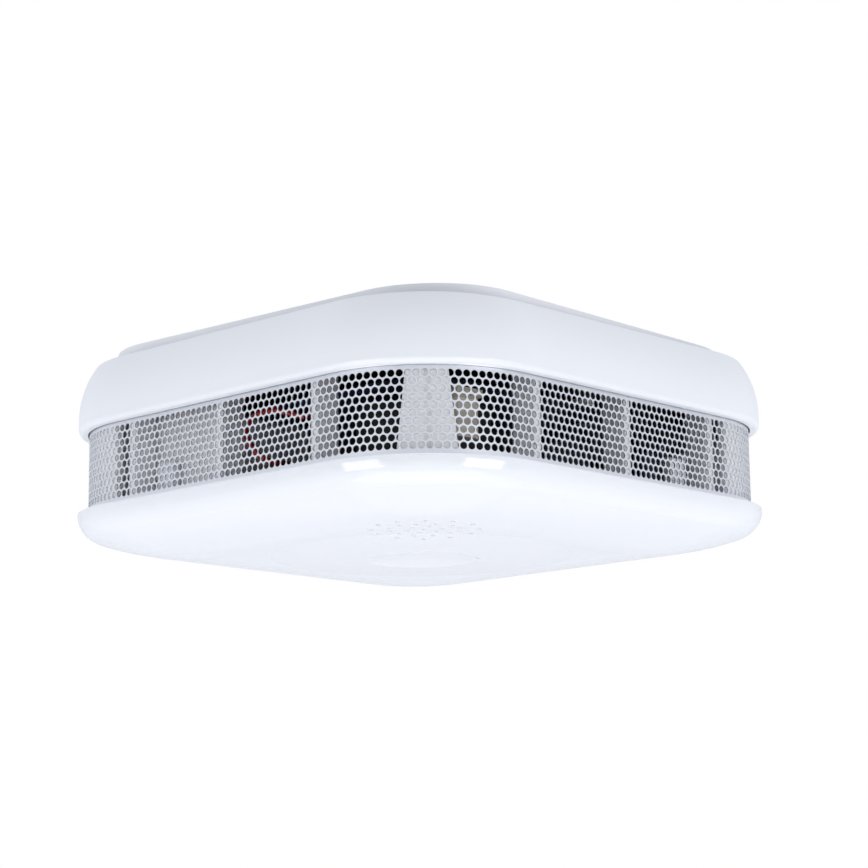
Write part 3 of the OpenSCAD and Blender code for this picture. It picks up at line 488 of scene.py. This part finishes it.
@dataclass
class ScreenBand:
    """Perforated strip: one closed band of staggered round holes, bent round the four corners.

    A column is one step of the holes along the strip. A flat side and a bend each hold a whole number.
    """

    reach: float
    half_width: float
    sheet: float
    low: float
    high: float
    rows: int = 10
    row_pitch: float = 1.6 * MM
    hole: float = 1.5 * MM
    flat_columns: int = 40
    bend_columns: int = 25
    first_column: float = 0.75
    hole_sides: int = 12
    merge: float = 0.03 * MM

    @classmethod
    def from_solids(cls) -> "ScreenBand":
        """Takes the strip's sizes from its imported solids.

        Returns:
            The band, not yet built.
        """
        bend_low, bend_high = box("screen_bend_front_right")
        panel_low, panel_high = box("screen_panel_front")
        return cls(reach=bend_low.x, half_width=bend_high.x, sheet=panel_high.y - panel_low.y,
                   low=bend_low.z, high=bend_high.z)

    @property
    def pitch(self) -> float:
        """Length of a column on the flat sides."""
        return 2 * self.reach / self.flat_columns

    def cell(self) -> bmesh.types.BMesh:
        """Builds one hole with the sheet round it, centred on the origin.

        Returns:
            An open sheet, a column wide and a row high.
        """
        bm = bmesh.new()
        bmesh.ops.create_circle(bm, cap_ends=False, radius=self.hole / 2, segments=self.hole_sides)
        edge = bmesh.ops.create_grid(bm, x_segments=2, y_segments=1, size=0.5)["verts"]
        bmesh.ops.scale(bm, vec=(self.pitch, self.row_pitch, 1.0), verts=edge)
        inner = [e for e in bm.edges if len(e.link_faces) == 2]
        bmesh.ops.delete(bm, geom=bm.faces[:], context="FACES_ONLY")
        bmesh.ops.delete(bm, geom=inner, context="EDGES")
        bmesh.ops.bridge_loops(bm, edges=bm.edges[:])
        return bm

    def strip(self) -> bmesh.types.BMesh:
        """Builds the strip's outer face flat: x runs along it and y is the height.

        Returns:
            An open sheet with all its holes.
        """
        bm = self.cell()
        middle = (self.low + self.high) / 2
        first_row = middle - (self.rows - 1) / 2 * self.row_pitch
        bmesh.ops.translate(bm, vec=(self.first_column * self.pitch, first_row, 0.0), verts=bm.verts[:])
        columns = 4 * (self.flat_columns + self.bend_columns)
        along = (self.pitch, 0.0, 0.0)
        upwards = (self.pitch / 2, self.row_pitch, 0.0)
        for copies, step in ((columns - 1, along), (self.rows - 1, upwards)):
            bmesh.ops.spin(bm, geom=bm.faces[:], angle=0.0, steps=copies, dvec=step,
                           axis=(0.0, 0.0, 1.0), cent=(0.0, 0.0, 0.0), use_duplicate=True)
        bmesh.ops.remove_doubles(bm, verts=bm.verts[:], dist=self.merge)
        half = self.rows / 2 * self.row_pitch
        for holes_end, strip_end in ((middle - half, self.low), (middle + half, self.high)):
            rim = [e for e in bm.edges if all(abs(v.co.y - holes_end) < self.merge for v in e.verts)]
            grown = bmesh.ops.extrude_edge_only(bm, edges=rim)["geom"]
            bmesh.ops.translate(bm, vec=(0.0, strip_end - holes_end, 0.0),
                                verts=[g for g in grown if isinstance(g, bmesh.types.BMVert)])
        return bm

    def bent(self, column: float, height: float) -> Vector:
        """Places a point of the flat sheet on the bent strip.

        Args:
            column: Distance along the strip in columns of holes.
            height: Height in the part's frame.

        Returns:
            The point in the part's frame.
        """
        turn = self.flat_columns + self.bend_columns
        side, step = divmod(column % (4 * turn), turn)
        if step <= self.flat_columns:
            spot = Vector((step * self.pitch - self.reach, -self.half_width, height))
        else:
            angle = ((step - self.flat_columns) / self.bend_columns - 1.0) * math.pi / 2
            radius = self.half_width - self.reach
            spot = Vector((self.reach + radius * math.cos(angle), -self.reach + radius * math.sin(angle),
                           height))
        return Matrix.Rotation(side * math.pi / 2, 3, "Z") @ spot

    def inwards(self, spot: Vector) -> Vector:
        """Gives the direction from a point of the strip's outer face into the sheet."""
        return Vector([min(max(c, -self.reach), self.reach) - c for c in spot.xy] + [0.0]).normalized()

    def build(self, material: bpy.types.Material) -> bpy.types.Object:
        """Builds the band and lets it stand for the eight stretches of the strip.

        Args:
            material: Finish of the strip.

        Returns:
            The band's object.
        """
        bm = self.strip()
        for v in bm.verts:
            v.co = self.bent(v.co.x / self.pitch, v.co.y)
        bmesh.ops.remove_doubles(bm, verts=bm.verts[:], dist=self.merge)
        back = bmesh.ops.extrude_face_region(bm, geom=bm.faces[:])["geom"]
        for v in [g for g in back if isinstance(g, bmesh.types.BMVert)]:
            v.co += self.inwards(v.co) * self.sheet
        bmesh.ops.recalc_face_normals(bm, faces=bm.faces[:])
        band = put("screen_band", bm, "detector", material)
        sides = ("front", "right", "back", "left")
        corners = ("front_right", "back_right", "back_left", "front_left")
        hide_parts(*[f"screen_panel_{s}" for s in sides], *[f"screen_bend_{c}" for c in corners])
        return band


@dataclass
class Camera:
    """Camera at the photograph's viewing angle: below the part, looking up at its front corner."""

    image_px: float = 868.0
    focal_px: float = 2377.6
    centre_px: tuple[float, float] = (419.6, 436.2)
    sensor_mm: float = 36.0
    distance: float = 535.7 * MM
    target_z: float = -17.9 * MM
    elevation: float = -0.1919
    azimuth: float = 0.76446
    roll: float = -0.01093
    clip: tuple[float, float] = (0.01, 20.0)

    def build(self) -> bpy.types.Object:
        """Makes the camera and sets it as the scene's.

        Returns:
            The camera's object.
        """
        back = Vector((math.sin(self.azimuth) * math.cos(self.elevation),
                       -math.cos(self.azimuth) * math.cos(self.elevation), math.sin(self.elevation)))
        right = (-back).cross(Vector((0.0, 0.0, 1.0))).normalized()
        up = right.cross(-back)
        turned = right * math.cos(self.roll) + up * math.sin(self.roll)
        upright = up * math.cos(self.roll) - right * math.sin(self.roll)
        data = bpy.data.cameras.new("camera")
        data.sensor_width = self.sensor_mm
        data.lens = self.focal_px / self.image_px * self.sensor_mm
        data.shift_x = (self.image_px / 2 - self.centre_px[0]) / self.image_px
        data.shift_y = (self.centre_px[1] - self.image_px / 2) / self.image_px
        data.clip_start, data.clip_end = self.clip
        camera = bpy.data.objects.new("camera", data)
        matrix = Matrix((turned, upright, back)).transposed().to_4x4()
        matrix.translation = Vector((0.0, 0.0, self.target_z)) + back * self.distance
        camera.matrix_world = matrix
        bpy.context.scene.collection.objects.link(camera)
        bpy.context.scene.camera = camera
        return camera


@dataclass
class Softbox:
    """A rectangular studio lamp aimed at the part."""

    name: str
    azimuth_deg: float
    elevation_deg: float
    distance: float
    size: tuple[float, float]
    watts: float

    def build(self, aim: Vector) -> bpy.types.Object:
        """Makes the lamp.

        Args:
            aim: Point that the lamp faces.

        Returns:
            The lamp's object.
        """
        azimuth = math.radians(self.azimuth_deg)
        elevation = math.radians(self.elevation_deg)
        back = Vector((math.sin(azimuth) * math.cos(elevation), -math.cos(azimuth) * math.cos(elevation),
                       math.sin(elevation)))
        data = bpy.data.lights.new(self.name, "AREA")
        data.shape = "RECTANGLE"
        data.size, data.size_y = self.size
        data.energy = self.watts
        lamp = bpy.data.objects.new(self.name, data)
        lamp.location = aim + back * self.distance
        lamp.rotation_euler = back.to_track_quat("Z", "Y").to_euler()
        bpy.context.scene.collection.objects.link(lamp)
        return lamp


@dataclass
class Studio:
    """Plain studio: a white surround, a pale floor under the hanging part and soft lamps.

    The surround's levels are its strengths. Light that it casts runs from behind over the sides to the
    front. What shows in glossy surfaces runs from below the horizon to above it, ahead and behind.
    """

    floor_z: float = -0.6
    floor_reach: float = 1.0
    aim_z: float = -25 * MM
    surround: str = "EEF1F9"
    front_deg: float = 44.0
    cast: tuple[float, float, float] = (0.5, 1.16, 0.38)
    mirrored_ahead: tuple[float, float] = (0.7, 0.9)
    mirrored_behind: tuple[float, float] = (1.0, 0.9)
    horizon: tuple[float, float] = (-0.3, 0.15)
    seam: float = 0.3
    softboxes: tuple[Softbox, ...] = (
        Softbox("softbox_left", azimuth_deg=-7.0, elevation_deg=-20.0, distance=0.9, size=(0.5, 0.46),
                watts=2.15),
        Softbox("softbox_right", azimuth_deg=91.0, elevation_deg=-20.0, distance=0.9, size=(0.5, 0.46),
                watts=2.65),
        Softbox("softbox_below", azimuth_deg=44.0, elevation_deg=-80.0, distance=0.55, size=(0.7, 0.5),
                watts=0.65),
    )

    def cast_level(self, tree: bpy.types.NodeTree, ahead: bpy.types.NodeSocket) -> bpy.types.NodeSocket:
        """Adds the nodes of the light that the surround casts.

        Args:
            tree: Node tree of the world.
            ahead: How far a direction points to the front, from -1 to 1.

        Returns:
            The level's socket.
        """
        back_to_side = add(tree, "ShaderNodeMapRange", {
            "Value": ahead, "From Min": -1.0, "From Max": 0.0,
            "To Min": self.cast[0], "To Max": self.cast[1]})
        side_to_front = add(tree, "ShaderNodeMapRange", {
            "Value": ahead, "From Min": 0.0, "From Max": 1.0,
            "To Min": back_to_side.outputs[0], "To Max": self.cast[2]})
        return side_to_front.outputs[0]

    def mirrored_level(self, tree: bpy.types.NodeTree, ahead: bpy.types.NodeSocket,
                       height: bpy.types.NodeSocket) -> bpy.types.NodeSocket:
        """Adds the nodes of what glossy surfaces mirror.

        Args:
            tree: Node tree of the world.
            ahead: How far a direction points to the front, from -1 to 1.
            height: How far it points up, from -1 to 1.

        Returns:
            The level's socket.
        """
        below, above = [add(tree, "ShaderNodeMapRange", {
            "Value": ahead, "From Min": -self.seam, "From Max": self.seam,
            "To Min": level_behind, "To Max": level_ahead})
            for level_behind, level_ahead in zip(self.mirrored_behind, self.mirrored_ahead)]
        mirrored = add(tree, "ShaderNodeMapRange", {
            "Value": height, "From Min": self.horizon[0], "From Max": self.horizon[1],
            "To Min": below.outputs[0], "To Max": above.outputs[0]})
        return mirrored.outputs[0]

    def surround_light(self) -> None:
        """Makes the world: it casts light, shows in glossy surfaces and is white where it is seen."""
        world = bpy.data.worlds.new("studio_surround")
        world.use_nodes = True
        tree = world.node_tree
        tree.nodes.clear()
        way = add(tree, "ShaderNodeTexCoord").outputs["Generated"]
        turn = math.radians(self.front_deg)
        ahead = add(tree, "ShaderNodeVectorMath", {
            0: way, 1: (math.sin(turn), -math.cos(turn), 0.0)}, operation="DOT_PRODUCT").outputs["Value"]
        height = add(tree, "ShaderNodeSeparateXYZ", {0: way}).outputs["Z"]
        soft, gloss = [add(tree, "ShaderNodeBackground", {"Color": linear(self.surround), "Strength": level})
                       for level in (self.cast_level(tree, ahead), self.mirrored_level(tree, ahead, height))]
        white = add(tree, "ShaderNodeBackground", {"Color": linear(WHITE), "Strength": 1.0})
        ray = add(tree, "ShaderNodeLightPath").outputs
        seen = add(tree, "ShaderNodeMath", {
            0: ray["Is Camera Ray"], 1: ray["Is Transmission Ray"]}, operation="MAXIMUM")
        lit = add(tree, "ShaderNodeMixShader", {
            0: ray["Is Glossy Ray"], 1: soft.outputs[0], 2: gloss.outputs[0]})
        mixed = add(tree, "ShaderNodeMixShader", {
            0: seen.outputs[0], 1: lit.outputs[0], 2: white.outputs[0]})
        add(tree, "ShaderNodeOutputWorld", {"Surface": mixed.outputs[0]})
        bpy.context.scene.world = world

    def floor(self) -> bpy.types.Object:
        """Makes the pale floor, well below the part.

        Returns:
            The floor's object.
        """
        bm = bmesh.new()
        bmesh.ops.create_grid(bm, x_segments=1, y_segments=1, size=self.floor_reach,
                              matrix=Matrix.Translation((0.0, 0.0, self.floor_z)))
        mesh = bpy.data.meshes.new("floor")
        bm.to_mesh(mesh)
        bm.free()
        # Paper off a roll: matt, with a fine tooth.
        paper = Backdrop("floor_paper", colour="F2F3F4", tone="EEEFF1", roughness=(0.6, 0.7), grain_mm=2.0,
                         relief_mm=0.02, flow_mm=300.0)
        mesh.materials.append(paper.material())
        floor = bpy.data.objects.new("floor", mesh)
        bpy.context.scene.collection.objects.link(floor)
        return floor

    def build(self) -> None:
        """Builds the surround, the floor and the lamps."""
        self.surround_light()
        self.floor()
        for softbox in self.softboxes:
            softbox.build(Vector((0.0, 0.0, self.aim_z)))
            LOG.info("%s: %.2f W", softbox.name, softbox.watts)


class Detector:
    """The whole smoke detector: its finishes, the solids that carry them and the pieces modelled here."""

    def __init__(self) -> None:
        """Makes one Blender material for each slot of the record."""
        self.materials: dict[str, bpy.types.Material] = {s: f.material() for s, f in FINISHES.items()}

    def dress_solids(self) -> None:
        """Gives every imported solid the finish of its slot."""
        for row in frame["record"]["subparts"]:
            solid = frame["nodes"][row["node"]]
            solid.data.materials.clear()
            solid.data.materials.append(self.materials[row["material_slot"]])
            LOG.info("%s: %s", row["node"], row["material_slot"])

    def build(self) -> None:
        """Dresses the solids and builds the pieces."""
        self.dress_solids()
        ScreenBand.from_solids().build(self.materials["screen_metal"])


def main() -> None:
    """Builds the camera, the studio and the detector."""
    logging.basicConfig(level=logging.INFO, format="%(message)s")
    bpy.context.scene.view_settings.view_transform = "Standard"
    Camera().build()
    Studio().build()
    Detector().build()


if __name__ == "__main__":
    main()
